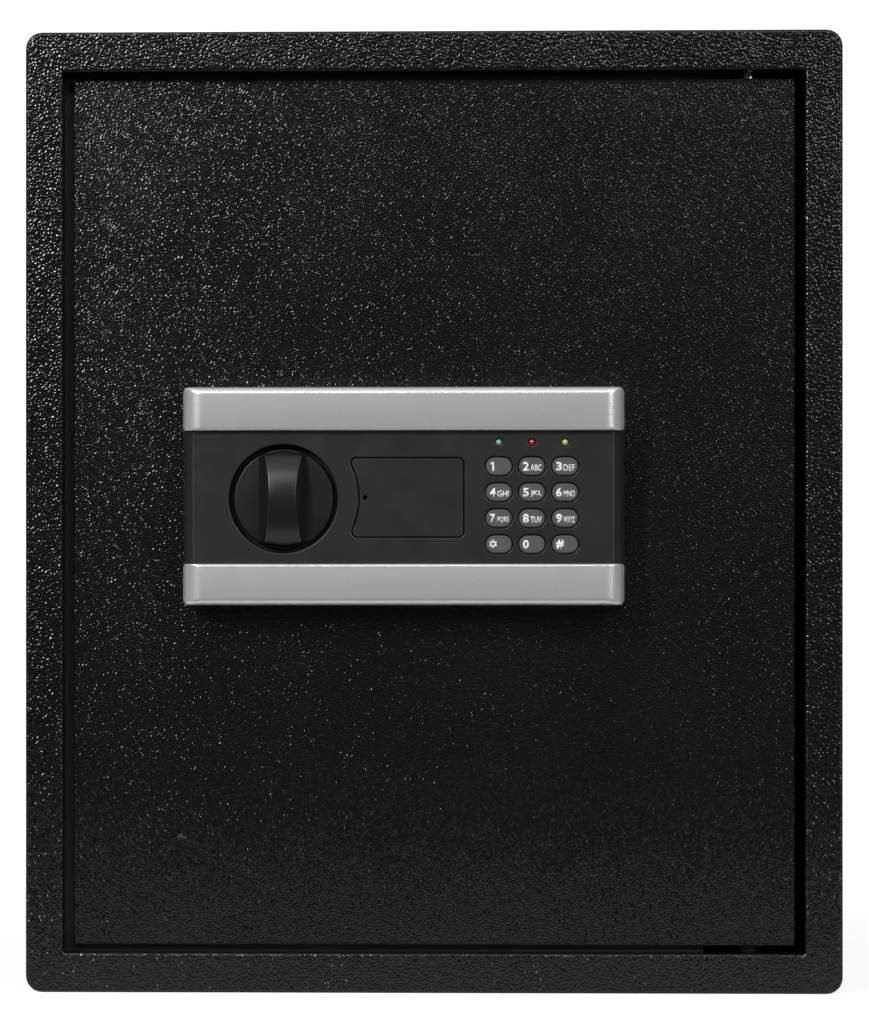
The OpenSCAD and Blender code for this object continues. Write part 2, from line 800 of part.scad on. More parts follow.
module lamp(col, shade) color(shade) translate([keys_x + col * key_px, door_front,
    panel_z + lamp_dz]) rotate([90, 0, 0]) rotate_extrude()
        polygon(concat([[0, board_face], [lamp_r + lamp_foot, board_face],
            [lamp_r + lamp_foot, board_face + lamp_foot_t], [lamp_r, board_face + lamp_foot_t]],
            arc(0, face_t - lamp_drop, lamp_r, 0, 90)));

module key_cap(col, row) color("#6f7173")
    translate([keys_x + col * key_px, 0, keys_z + (ROW_MIDDLE - row) * key_pz]) {
        face_slab(skin_t - AIR - key_foot_t, skin_t - AIR) key_outline(key_flange);
        face_slab(mat_face + AIR + key_travel, skin_t - AIR - CUT)
            square(key_stem_w, center = true);
        hull() {
            face_slab(skin_t - AIR - CUT, key_top - key_edge) key_outline(0);
            face_slab(key_top - key_land, key_top) key_outline(-key_edge);
        }
    }

module key_mat() color("#8a8c8e") face_slab(board_face, mat_face) difference() {
    translate([keys_x, board_z]) round_rect(board_w - 2 * mat_edge, board_h - 2 * mat_edge, post_r);
    lamp_places() circle(lamp_r + lamp_room);
    post_places() circle(post_r + AIR);
}

module circuit_board() color("#1f5f3a") {
    face_slab(board_face - board_t, board_face) translate([keys_x, board_z])
        square([board_w, board_h], center = true);
    face_slab(board_face - board_t - chip_t, board_face - board_t / 2) {
        translate([keys_x - chip_w, board_z + chip_w]) square(chip_w, center = true);
        translate([keys_x + socket_w, board_z - 2 * socket_w])
            square([socket_w, socket_h], center = true);
    }
}

// ---- Bolt work on the back of the door ----

module bolt_carriage() color("#9fa1a3") slab(plate_front, plate_back) difference() {
    union() {
        translate([plate_left, plate_low])
            square([plate_right - plate_left, plate_high - plate_low]);
        translate([plate_right - CUT, arm_low]) square([arm_right - plate_right + CUT, arm_h]);
    }
    // crank slot, upright
    slot(kx + crank_r * cos(45), kz + crank_r * sin(45) - crank_play, kx + crank_r * cos(45),
        kz + crank_r + crank_play, crank_pin_r + crank_play);
    for (side = [-1, 1]) {
        // level slots for the guide studs
        slot(stud_x - AIR, kz + side * stud_dz, stud_x + throw + AIR, kz + side * stud_dz,
            stud_r + SLIDE);
        translate([rivet_x, kz + side * bolt_dz]) circle(rivet_r);
    }
    // lightening window between the bolts
    translate([plate_left + window_w, kz - window_h / 2]) square([window_w, window_h]);
    // ramped relief over the plunger when the bolts are drawn back
    relief_left = plunger_x - plunger_r - notch_gap;
    relief_right = plunger_x + plunger_r + notch_gap;
    polygon([[relief_left, arm_low - CUT],
        [relief_left, arm_low + plunger_travel + AIR],
        [relief_right, arm_low + plunger_travel + AIR],
        [relief_right + relief_ramp, arm_low],
        [relief_right + relief_ramp, arm_low - CUT]]);
    // square notch that the plunger locks when the bolts are thrown
    translate([plunger_x + throw - plunger_r - notch_gap, arm_low - CUT])
        square([2 * (plunger_r + notch_gap), plunger_travel + AIR + CUT]);
}

module locking_bolt(z) color("#c9cbcd") difference() {
    union() {
        translate([bolt_tip, bolt_y, z]) rotate([0, 90, 0]) {
            cylinder(r1 = bolt_r - bolt_chamfer, r2 = bolt_r, h = bolt_chamfer);
            translate([0, 0, bolt_chamfer])
                cylinder(r = bolt_r, h = plate_left - AIR - bolt_tip - bolt_chamfer);
        }
        intersection() {
            translate([plate_left - CUT, bolt_y, z]) rotate([0, 90, 0])
                cylinder(r = bolt_r, h = tang_len + CUT);
            translate([plate_left - CUT, plate_back, z - bolt_r])
                cube([tang_len + CUT, bolt_r, 2 * bolt_r]);
        }
    }
    rear_rod(rivet_x, z, rivet_r, 0, plate_back - door_rear + rivet_proud);
}

module upper_bolt() locking_bolt(kz + bolt_dz);

module lower_bolt() locking_bolt(kz - bolt_dz);

module bolt_rivets() color("#8c8e90") for (side = [-1, 1]) {
    rear_rod(rivet_x, kz + side * bolt_dz, rivet_r, plate_front - door_rear - CUT,
        plate_back - door_rear + rivet_proud);
    rear_rod(rivet_x, kz + side * bolt_dz, shoulder_r, plate_front - door_rear - rivet_head_t,
        plate_front - door_rear);
}

module bolt_guide() color("#77797b") difference() {
    union() {
        translate([guide_x, door_rear, plate_low])
            cube([guide_foot, guide_t, plate_high - plate_low]);
        translate([guide_x, door_rear, plate_low])
            cube([guide_t, bolt_y + bolt_r + guide_rim - door_rear, plate_high - plate_low]);
    }
    for (side = [-1, 1]) translate([guide_x - CUT, bolt_y, kz + side * bolt_dz])
        rotate([0, 90, 0]) cylinder(r = bolt_r + AIR, h = guide_t + 2 * CUT);
}

module guide_studs() color("#9a9c9e") for (side = [-1, 1]) {
    slab(door_rear, plate_front - AIR) translate([stud_x, kz + side * stud_dz])
        circle(shoulder_r);
    slab(plate_front - AIR - CUT, plate_back + AIR + CUT)
        translate([stud_x, kz + side * stud_dz]) circle(stud_r);
    slab(plate_back + AIR, plate_back + AIR + stud_cap_t)
        translate([stud_x, kz + side * stud_dz]) circle(stud_cap_r);
}

// ---- Solenoid and override link ----

module solenoid_frame() color("#8f9193") difference() {
    union() {
        translate([plunger_x - solenoid_w / 2, door_rear, coil_low - leg_t - ear_h])
            cube([solenoid_w, leg_t, coil_top - coil_low + 2 * (leg_t + ear_h)]);
        for (z = [coil_low - leg_t, coil_top])
            translate([plunger_x - solenoid_w / 2, door_rear, z])
                cube([solenoid_w, plate_y + coil_r - door_rear + solenoid_rim, leg_t]);
    }
    translate([plunger_x, plate_y, coil_top - CUT]) cylinder(r = plunger_r + AIR, h = 2 * CUT + leg_t);
}

module solenoid_coil() color("#8a3b22") difference() {
    union() {
        for (z = [coil_low, coil_top - flange_wall])
            translate([plunger_x, plate_y, z]) cylinder(r = coil_r, h = flange_wall);
        translate([plunger_x, plate_y, coil_low + CUT])
            cylinder(r = coil_r - winding_inset, h = coil_top - coil_low - 2 * CUT);
    }
    translate([plunger_x, plate_y, coil_low - CUT])
        cylinder(r = plunger_r + AIR, h = coil_top - coil_low + 2 * CUT);
}

module plunger() color("#c9cbcd") translate([plunger_x, plate_y, 0]) {
    translate([0, 0, plunger_low]) cylinder(r = plunger_r, h = arm_low - AIR - plunger_low);
    translate([0, 0, collar_top - collar_t]) cylinder(r = collar_r, h = collar_t);
}

spring_wire = 0.5;
spring_turns = 4;
spring_steps = 14;
spring_low = coil_top + leg_t + spring_wire + RUN;
spring_high = collar_top - collar_t - spring_wire - RUN;

// Points of the spring's wire: a ring of six corners at each step of the helix
function spring_ring(i) =
    let (turn = 360 * i / spring_steps, mean = plunger_r + 2 * spring_wire,
        z = spring_low + (spring_high - spring_low) * i / (spring_turns * spring_steps))
    [for (k = [0:5]) [(mean + spring_wire * cos(60 * k)) * cos(turn),
        (mean + spring_wire * cos(60 * k)) * sin(turn), z + spring_wire * sin(60 * k)]];

module plunger_spring() color("#b4b6b8") translate([plunger_x, plate_y, 0]) {
    rings = spring_turns * spring_steps;
    polyhedron(
        points = [for (i = [0:rings]) each spring_ring(i)],
        faces = concat([[0, 1, 2, 3, 4, 5]],
            [for (i = [0:rings - 1], k = [0:5]) [6 * i + k, 6 * i + 6 + k, 6 * i + (k + 1) % 6]],
            [for (i = [0:rings - 1], k = [0:5])
                [6 * i + 6 + k, 6 * i + 6 + (k + 1) % 6, 6 * i + (k + 1) % 6]],
            [[for (k = [5:-1:0]) 6 * rings + k]]));
}

module override_link() color("#a3a5a7") {
    tail_x = lx + tail_r * cos(45);
    tail_z = lz + tail_r * sin(45);
    slab(link_y, link_y + link_t) difference() {
        union() {
            translate([link_left, link_low]) square([link_w, tail_z + link_head - link_low]);
            translate([plunger_x - collar_r, link_low])
                square([lx - plunger_x + collar_r, link_foot_h]);
        }
        slot(tail_x - AIR, tail_z, lx + tail_r + AIR, tail_z, tail_pin_r + SLIDE);
        slot(link_stud_x, link_stud_z, link_stud_x, link_stud_z + plunger_travel,
            tail_pin_r + SLIDE);
    }
    // fork over the plunger's collar, open round its rod
    difference() {
        translate([plunger_x - collar_r, plate_back + AIR, link_low])
            cube([2 * collar_r, link_y + link_t - plate_back - AIR, link_t]);
        translate([plunger_x, plate_y, link_low - CUT])
            cylinder(r = plunger_r + AIR, h = link_t + 2 * CUT);
    }
}

module link_stud() color("#9a9c9e") translate([link_stud_x, 0, link_stud_z]) {
    slab(door_rear, link_y - AIR) circle(link_shoulder_r);
    slab(link_y - CUT, link_y + link_t + CUT) circle(tail_pin_r);
    slab(link_y + link_t + AIR, link_y + link_t + AIR + link_cap_t) circle(link_cap_r);
}

// ---- Inner cover, batteries and small hardware ----

module inner_cover() color("#232425") difference() {
    union() {
        slab(door_rear, inner_back) translate([inner_x, inner_z])
            round_rect(inner_w, inner_h, inner_corner_r);
        slab(door_rear, door_rear + inner_t) translate([inner_x, inner_z])
            round_rect(inner_w, inner_h + 2 * flap_h, inner_corner_r);
    }
    slab(door_rear - CUT, inner_back - inner_t) translate([inner_x, inner_z])
        round_rect(inner_w - 2 * inner_t, inner_h - 2 * inner_t, inner_corner_r - inner_t);
    for (side = [-1, 1]) translate([inner_left - CUT, bolt_y, kz + side * bolt_dz])
        rotate([0, 90, 0]) cylinder(r = bolt_r + bolt_room, h = 2 * CUT + inner_t);
    slab(door_rear - CUT, door_rear + 2 * inner_t) cover_screw_places() circle(cover_screw_r);
    slab(inner_back - 2 * inner_t, inner_back + CUT) {
        translate([box_x, box_z]) round_rect(box_w, box_h, box_corner_r);
        translate([button_x, button_z]) circle(button_r + AIR);
    }
}

module cover_screws() color("#b9bbbd") {
    slab(door_rear - cover_screw_depth, door_rear + inner_t + CUT) cover_screw_places()
        circle(cover_screw_r);
    slab(door_rear + inner_t, door_rear + inner_t + cover_head_t) cover_screw_places()
        circle(cover_head_r);
}

module panel_screws() color("#b9bbbd") {
    slab(door_front - screw_grip, door_rear + CUT) panel_screw_places() circle(screw_r);
    slab(door_rear, door_rear + screw_head_t) panel_screw_places() circle(screw_head_r);
}

module battery_box() color("#1b1b1c") difference() {
    union() {
        slab(box_face - box_d, box_face) translate([box_x, box_z])
            round_rect(box_w, box_h, box_corner_r);
        slab(box_face - inner_t, box_face) translate([box_x, box_z])
            round_rect(box_w + 2 * box_flange, box_h + 2 * box_flange, box_corner_r);
    }
    slab(box_face - box_d + box_wall, box_face + CUT) translate([box_x, box_z])
        square([box_w - 2 * box_wall, box_h - 2 * box_wall], center = true);
}

module battery_lid() color("#1b1b1c") union() {
    slab(box_face + AIR, inner_back + lid_t) translate([box_x, box_z])
        round_rect(box_w - 2 * AIR, box_h - 2 * AIR, box_corner_r);
    for (i = [1:rib_count]) slab(inner_back + lid_t / 2, inner_back + lid_t + rib_proud)
        translate([box_x, box_z + box_h / 2 - box_flange - i * rib_pitch])
            square([rib_w, rib_h], center = true);
}

module batteries() color("#3a6a4a") for (i = [0:battery_count - 1]) {
    translate([box_x + (2 * i + 1 - battery_count) * battery_r, box_face - box_d + box_wall
        + battery_r, box_z - (battery_len + terminal_h) / 2]) {
        cylinder(r = battery_r - RUN, h = battery_len);
        translate([0, 0, battery_len]) cylinder(r = terminal_r, h = terminal_h);
    }
}

module reset_button() color("#b02a22") {
    slab(inner_back - inner_t - AIR - button_proud, inner_back - inner_t - AIR)
        translate([button_x, button_z]) circle(button_r + button_foot);
    slab(inner_back - inner_t - AIR - CUT, inner_back + button_proud)
        translate([button_x, button_z]) circle(button_r);
}

front_frame();
cabinet_wrap();
back_panel();
door_stop();
shelf_supports();
floor_mat();
shelf();
shelf_mat();
door_plate();
hinge_lugs();
hinge_pin_top();
hinge_pin_bottom();
hinge_washer();
panel_housing();
top_bar();
bottom_bar();
knob();
knob_spindle();
crank_disc();
override_cover();
lock_barrel();
lock_plug();
lock_nut();
override_link();
link_stud();
lamp(-1, "#2f9e4a");  // green_lamp
lamp(0, "#b5302a");  // red_lamp
lamp(1, "#c9a227");  // yellow_lamp
key_cap(-1, 0);  // key_1
key_cap(0, 0);  // key_2
key_cap(1, 0);  // key_3
key_cap(-1, 1);  // key_4
key_cap(0, 1);  // key_5
key_cap(1, 1);  // key_6
key_cap(-1, 2);  // key_7
key_cap(0, 2);  // key_8
key_cap(1, 2);  // key_9
key_cap(-1, 3);  // key_star
key_cap(0, 3);  // key_0
key_cap(1, 3);  // key_hash
key_mat();
circuit_board();
bolt_carriage();
upper_bolt();
lower_bolt();
bolt_rivets();
bolt_guide();
guide_studs();
solenoid_frame();
solenoid_coil();
plunger();
plunger_spring();
inner_cover();
cover_screws();
panel_screws();
battery_box();
battery_lid();
batteries();
reset_button();
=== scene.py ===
import json
import math

import bpy
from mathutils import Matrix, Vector


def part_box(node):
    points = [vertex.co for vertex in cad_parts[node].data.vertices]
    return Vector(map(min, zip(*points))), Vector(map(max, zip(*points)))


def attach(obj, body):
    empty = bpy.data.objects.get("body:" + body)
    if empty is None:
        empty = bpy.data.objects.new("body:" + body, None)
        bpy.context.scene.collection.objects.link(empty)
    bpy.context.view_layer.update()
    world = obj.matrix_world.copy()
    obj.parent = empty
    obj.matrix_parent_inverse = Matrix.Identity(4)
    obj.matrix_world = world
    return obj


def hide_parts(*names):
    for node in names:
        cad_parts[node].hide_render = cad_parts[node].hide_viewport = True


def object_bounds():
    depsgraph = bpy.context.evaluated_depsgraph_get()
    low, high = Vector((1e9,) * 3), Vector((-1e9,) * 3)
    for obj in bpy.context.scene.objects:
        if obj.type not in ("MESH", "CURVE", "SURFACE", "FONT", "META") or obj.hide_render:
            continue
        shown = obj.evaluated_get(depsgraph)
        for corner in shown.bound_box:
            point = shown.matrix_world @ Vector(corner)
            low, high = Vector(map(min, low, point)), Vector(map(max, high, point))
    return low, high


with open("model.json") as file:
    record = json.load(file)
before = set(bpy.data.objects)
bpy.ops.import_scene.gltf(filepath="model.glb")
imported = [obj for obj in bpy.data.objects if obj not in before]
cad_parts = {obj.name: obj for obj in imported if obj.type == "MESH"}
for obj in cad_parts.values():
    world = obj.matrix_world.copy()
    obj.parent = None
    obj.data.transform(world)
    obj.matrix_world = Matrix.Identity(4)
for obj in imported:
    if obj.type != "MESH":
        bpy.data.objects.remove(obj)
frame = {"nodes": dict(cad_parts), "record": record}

cad_low, cad_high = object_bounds()
nodes = frame["nodes"]

MM = 0.001
WELD_GAP = 1e-6                   # points nearer than this become one

# ---- Camera: the photograph's viewpoint, seen level from a little right of the middle ----
IMAGE_H = 1024                    # rows of the photograph
PHOTO_MM_PER_PX = 0.4281          # at the cabinet's front face
CAMERA_DISTANCE = 2.0             # in front of the cabinet's front face
CAMERA_X = 0.066
CAMERA_Z = 0.165                  # height of the lens above the floor
PHOTO_CENTRE_X = 0.0006           # point of the front face at the middle of the picture
PHOTO_CENTRE_Z = 0.206
KNOB_PROUD = 16 * MM              # the knob's crown in front of the cabinet's front face
SENSOR_MM = 36                    # long side of the sensor


# ---- Procedural materials ----

NOISE_RANGE = 0.3, 0.7            # where most values of a noise texture lie


class Paint:
    """A new material with a Principled shader, and short ways to add procedural nodes to it."""

    def __init__(self, name, colour, roughness, metallic=0.0):
        self.material = bpy.data.materials.new(name)
        self.material.use_nodes = True
        self.tree = self.material.node_tree
        self.bsdf = self.tree.nodes["Principled BSDF"]
        self.bsdf.inputs["Base Color"].default_value = (*colour, 1)
        self.bsdf.inputs["Roughness"].default_value = roughness
        self.bsdf.inputs["Metallic"].default_value = metallic
        self.coords = self.node("ShaderNodeTexCoord").outputs["Object"]

    def node(self, kind, **settings):
        made = self.tree.nodes.new(kind)
        for key, value in settings.items():
            setattr(made, key, value)
        return made

    def link(self, source, target):
        self.tree.links.new(source, target)

    def set(self, **values):
        for key, value in values.items():
            self.bsdf.inputs[key.replace("_", " ")].default_value = value

    def noise(self, size, detail, along=(1, 1, 1), roughness=0.5):
        """Noise with features of about the given size, drawn out where along is small."""
        mapping = self.node("ShaderNodeMapping")
        mapping.inputs["Scale"].default_value = along
        self.link(self.coords, mapping.inputs["Vector"])
        texture = self.node("ShaderNodeTexNoise")
        texture.inputs["Scale"].default_value = 1 / size
        texture.inputs["Detail"].default_value = detail
        texture.inputs["Roughness"].default_value = roughness
        self.link(mapping.outputs["Vector"], texture.inputs["Vector"])
        return texture.outputs["Fac"]

    def cells(self, size):
        """Distance from the nearest of many points the given size apart, in cell sizes."""
        texture = self.node("ShaderNodeTexVoronoi")
        texture.inputs["Scale"].default_value = 1 / size
        self.link(self.coords, texture.inputs["Vector"])
        return texture.outputs["Distance"]

    def math(self, operation, a, b):
        """Arithmetic on two values, each an output or a number."""
        made = self.node("ShaderNodeMath", operation=operation)
        for socket, value in zip(made.inputs, (a, b)):
            if isinstance(value, (int, float)):
                socket.default_value = value
            else:
                self.link(value, socket)
        return made.outputs["Value"]

    def spread(self, source, low, high, to_low=0.0, to_high=1.0):
        """Maps source's range low..high to to_low..to_high, clamped."""
        made = self.node("ShaderNodeMapRange")
        for name, value in (("From Min", low), ("From Max", high), ("To Min", to_low),
                            ("To Max", to_high)):
            made.inputs[name].default_value = value
        self.link(source, made.inputs["Value"])
        return made.outputs["Result"]

    def blend(self, factor, first, second):
        """Base colour between two colours."""
        made = self.node("ShaderNodeMix", data_type="RGBA")
        self.link(factor, made.inputs["Factor"])
        colours = [socket for socket in made.inputs if socket.type == "RGBA"]
        for socket, value in zip(colours, (first, second)):
            socket.default_value = (*value, 1)
        result = next(socket for socket in made.outputs if socket.type == "RGBA")
        self.link(result, self.bsdf.inputs["Base Color"])

    def mottle_and_painted_shade(self, noise, first, second):
        """Base colour that goes from one colour to the other with a noise; where that noise is also
        a bump's height, the darker hollows are painted shade.
        """
        self.blend(self.spread(noise, *NOISE_RANGE), first, second)

    def gloss(self, noise, rough, less, more):
        """Roughness that goes from rough - less to rough + more with a noise."""
        self.link(self.spread(noise, *NOISE_RANGE, rough - less, rough + more),
                  self.bsdf.inputs["Roughness"])

    def bump(self, height, depth):
        made = self.node("ShaderNodeBump")
        made.inputs["Distance"].default_value = depth
        self.link(height, made.inputs["Height"])
        self.link(made.outputs["Normal"], self.bsdf.inputs["Normal"])


def shade(colour, factor):
    return tuple(c * factor for c in colour)


# ---- Finishes; sizes and depths of grain in metres ----

COAT_TONE, COAT_ROUGH, COAT_SHINE = (0.0042,) * 3, 0.14, 0.42
COAT_PATCH = 0.05


def wrinkle_paint(name, grain, depth):
    """Black wrinkle powder coat: small humps that catch the light one by one."""
    p = Paint(name, COAT_TONE, COAT_ROUGH)
    p.set(Specular_IOR_Level=COAT_SHINE)
    humps = p.noise(grain, detail=0)
    p.bump(humps, depth)
    p.gloss(p.noise(COAT_PATCH, detail=3), COAT_ROUGH, less=0.02, more=0.05)
    # painted shade: the colour follows the humps' height, darker in the hollows and lighter on the
    # tops
    p.mottle_and_painted_shade(humps, shade(COAT_TONE, 0.8), shade(COAT_TONE, 1.25))
    return p.material


PEEL, PEEL_DEPTH, PEEL_PATCH = 0.0012, 0.00006, 0.03


def satin_paint(name, colour, rough=0.42):
    """Thin satin coat with orange peel."""
    p = Paint(name, colour, rough)
    p.bump(p.noise(PEEL, detail=2), PEEL_DEPTH)
    p.gloss(p.noise(PEEL_PATCH, detail=4), rough, less=0.05, more=0.08)
    return p.material


SPARK_GRAIN, SPARK_DEPTH = 0.00035, 0.00001
HANDLED_PATCH, PLASTIC_PATCH = 0.012, 0.02


def moulded_plastic(name, colour, rough, shine=0.5):
    """Moulded plastic with a fine spark-eroded grain."""
    p = Paint(name, colour, rough)
    p.set(Specular_IOR_Level=shine)
    p.bump(p.noise(SPARK_GRAIN, detail=3), SPARK_DEPTH)
    p.gloss(p.noise(HANDLED_PATCH, detail=4), rough, less=0.03, more=0.05)
    p.mottle_and_painted_shade(p.noise(PLASTIC_PATCH, detail=3), shade(colour, 0.93), colour)
    return p.material


FLAKE, FLAKE_DEPTH, FLAKE_RANGE = 0.0003, 0.000002, (0.35, 0.65)
LACQUER_PATCH = 0.015


def lacquer(name, colour, rough):
    """Silver lacquer on plastic: metal flakes under a clear coat."""
    p = Paint(name, colour, rough, metallic=0.6)
    p.set(Coat_Weight=0.2, Coat_Roughness=0.2)
    flakes = p.noise(FLAKE, detail=2)
    p.blend(p.spread(flakes, *FLAKE_RANGE), shade(colour, 0.94), shade(colour, 1.06))
    p.gloss(p.noise(LACQUER_PATCH, detail=3), rough, less=0.01, more=0.01)
    p.bump(flakes, FLAKE_DEPTH)
    return p.material


TURNING, TURNING_DEPTH = 0.0004, 0.000008
STAIN, STAIN_RANGE = 0.02, (0.35, 0.75)


def metal(name, colour, rough, along=(1, 1, 1)):
    """Metal with grinding or turning marks, drawn out along the axes that along makes small."""
    p = Paint(name, colour, rough, metallic=1.0)
    marks = p.noise(TURNING, detail=3, along=along)
    p.bump(marks, TURNING_DEPTH)
    p.gloss(marks, rough, less=0.06, more=0.1)
    p.blend(p.spread(p.noise(STAIN, detail=4), *STAIN_RANGE), colour, shade(colour, 0.82))
    return p.material


FIBRE, FIBRE_DEPTH, FELT_ROUGH = 0.0009, 0.0006, 0.95


def felt(name, colour):
    """Short needle felt."""
    p = Paint(name, colour, FELT_ROUGH)
    p.set(Sheen_Weight=0.3, Sheen_Roughness=0.5)
    fibres = p.noise(FIBRE, detail=5, roughness=0.7)
    p.bump(fibres, FIBRE_DEPTH)
    # painted shade: the colour follows the fibres' height, down to 0.55 of it in the hollows
    p.mottle_and_painted_shade(fibres, shade(colour, 0.55), colour)
    return p.material


RUBBER_GRAIN, RUBBER_DEPTH, RUBBER_ROUGH = 0.0004, 0.000012, 0.5
DUST_PATCH, RUBBER_PATCH = 0.004, 0.006


def rubber(name, colour):
    """Matt silicone rubber with a fine grain and a trace of dust."""
    p = Paint(name, colour, RUBBER_ROUGH)
    p.set(Sheen_Weight=0.05, Sheen_Roughness=0.4)
    p.bump(p.noise(RUBBER_GRAIN, detail=3), RUBBER_DEPTH)
    p.mottle_and_painted_shade(p.noise(DUST_PATCH, detail=4), shade(colour, 0.92), colour)
    p.gloss(p.noise(RUBBER_PATCH, detail=3), RUBBER_ROUGH, less=0.05, more=0.06)
    return p.material


LENS_ROUGH = 0.18
LENS_GRAIN, LENS_DEPTH = 0.0008, 0.00002
LENS_LIT_SHARE, LENS_SHADE_SHARE = 0.45, 0.75  # shares of the radius: painted light of the middle out to the first, painted shade of the rim from the second


def lens(name, node, lit_tint, edge):
    """Tinted lamp lens, with a bright middle painted in as light through the dome and a darker rim
    painted in as shade at its edge.
    """
    low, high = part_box(node)
    p = Paint(name, lit_tint, LENS_ROUGH)
    p.set(Coat_Weight=0.6, Coat_Roughness=0.08)
    centre = p.node("ShaderNodeVectorMath", operation="SUBTRACT")
    centre.inputs[1].default_value = (low + high) / 2
    p.link(p.coords, centre.inputs[0])
    flat = p.node("ShaderNodeVectorMath", operation="MULTIPLY")
    flat.inputs[1].default_value = (1, 0, 1)
    p.link(centre.outputs["Vector"], flat.inputs[0])
    radius = p.node("ShaderNodeVectorMath", operation="LENGTH")
    p.link(flat.outputs["Vector"], radius.inputs[0])
    half = (high.x - low.x) / 2
    p.blend(p.spread(radius.outputs["Value"], half * LENS_LIT_SHARE, half * LENS_SHADE_SHARE), lit_tint, edge)
    p.bump(p.noise(LENS_GRAIN, detail=2), LENS_DEPTH)
    return p.material


BOARD_TONE, BOARD_ROUGH = (0.01, 0.09, 0.04), 0.3
TRACK, TRACK_DEPTH, TRACK_RANGE = 0.004, 0.00003, (0.42, 0.46)


def board(name):
    """Solder mask with copper tracks showing through it."""
    p = Paint(name, BOARD_TONE, BOARD_ROUGH)
    tracks = p.spread(p.cells(TRACK), *TRACK_RANGE)
    p.blend(tracks, (0.008, 0.07, 0.03), (0.02, 0.16, 0.07))
    p.bump(tracks, TRACK_DEPTH)
    return p.material


TAPE_TONE, TAPE_ROUGH = (0.3, 0.07, 0.025), 0.45
TAPE_SCALE, TAPE_WANDER, TAPE_DEPTH = 60, 0.4, 0.00012


def wound_tape(name):
    """Tape wound round the coil, with an edge at each turn."""
    p = Paint(name, TAPE_TONE, TAPE_ROUGH)
    turns = p.node("ShaderNodeTexWave", bands_direction="Z", wave_profile="SAW")
    turns.inputs["Scale"].default_value = TAPE_SCALE
    turns.inputs["Distortion"].default_value = TAPE_WANDER
    p.link(p.coords, turns.inputs["Vector"])
    p.bump(turns.outputs["Fac"], TAPE_DEPTH)
    # painted shade: the colour follows the same saw as the bump, darker where each turn lies low by
    # the step of the next and lighter where it stands high
    p.blend(turns.outputs["Fac"], (0.24, 0.05, 0.02), (0.36, 0.09, 0.03))
    return p.material


FINISHES = {                      # by material slot, and a darker copy of black_plastic for the knob's skin, its lower tone painted shade
    "powder_coat": wrinkle_paint("frame_coat", grain=0.00095, depth=0.00038),
    "carpet": felt("felt", (0.05, 0.052, 0.06)),
    "shelf_paint": satin_paint("shelf_coat", (0.03, 0.031, 0.032)),
    "hinge_steel": metal("hinge_steel", (0.6, 0.6, 0.6), 0.25, along=(1, 1, 0.1)),
    "washer_brass": metal("washer_brass", (0.045, 0.042, 0.04), 0.5),
    # darker than black_plastic all over: painted shade for the knob's shaded lower half
    "knob_shaded_black": moulded_plastic("knob_shaded_plastic", (0.01, 0.01, 0.0105), 0.31, shine=0.45),
    "black_plastic": moulded_plastic("black_plastic", (0.0155, 0.0155, 0.016), 0.36),
    "silver_plastic": lacquer("silver_lacquer", (0.69, 0.69, 0.68), 0.3),
    "spindle_steel": metal("spindle_steel", (0.5, 0.5, 0.5), 0.35),
    "lock_chrome": metal("lock_chrome", (0.7, 0.7, 0.7), 0.15),
    "lock_brass": metal("lock_brass", (0.62, 0.46, 0.2), 0.28),
    "zinc_plate": metal("zinc_plate", (0.55, 0.56, 0.56), 0.38, along=(0.2, 1, 1)),
    "bolt_steel": metal("bolt_steel", (0.62, 0.62, 0.63), 0.22, along=(1, 0.1, 0.1)),
    # each lens: its tint brightened by painted light in the middle, and darkened by painted shade
    # at the rim
    "lamp_green": lens("lens_green", "green_lamp", (0.12, 0.42, 0.25), (0.004, 0.03, 0.015)),
    "lamp_red": lens("lens_red", "red_lamp", (0.4, 0.012, 0.02), (0.05, 0.002, 0.003)),
    "lamp_yellow": lens("lens_yellow", "yellow_lamp", (0.5, 0.5, 0.13), (0.05, 0.05, 0.006)),
    "key_grey": rubber("key_rubber", (0.08, 0.083, 0.082)),
    "silicone": rubber("mat_rubber", (0.28, 0.28, 0.28)),
    "board_green": board("solder_mask"),
    "coil_tape": wound_tape("coil_tape"),
    "cover_paint": satin_paint("cover_coat", (0.025, 0.026, 0.027)),
    "screw_zinc": metal("screw_zinc", (0.55, 0.55, 0.56), 0.32),
    "battery_plastic": moulded_plastic("battery_plastic", (0.02, 0.02, 0.02), 0.4),
    "battery_wrap": moulded_plastic("battery_wrap", (0.05, 0.16, 0.08), 0.25),
    "button_red": moulded_plastic("button_red", (0.5, 0.03, 0.02), 0.3),
}
NODE_FINISHES = {                 # nodes with a finish of their own
    "door_plate": wrinkle_paint("door_coat", grain=0.00078, depth=0.00028),
    "door_stop": satin_paint("stop_coat", (0.009, 0.009, 0.009), rough=0.6),
}

for part in frame["record"]["subparts"]:
    node = nodes[part["node"]]
    finish = NODE_FINISHES.get(part["node"], FINISHES[part["material_slot"]])
    node.data.materials.clear()
    node.data.materials.append(finish)


# ---- Softened edges ----

EDGE_WIDTHS = {
    "front_frame": 1.3 * MM, "door_plate": 0.5 * MM, "panel_housing": 0.5 * MM,
    "override_cover": 0.25 * MM,
}
EDGE_SEGMENTS = 3
FLAT_ANGLE = math.radians(0.5)    # faces that meet flatter than this become one
SHARP_ANGLE = math.radians(32)    # edges sharper than this are rounded
LARGE_FACE_WEIGHT = 80            # large faces keep their own shading


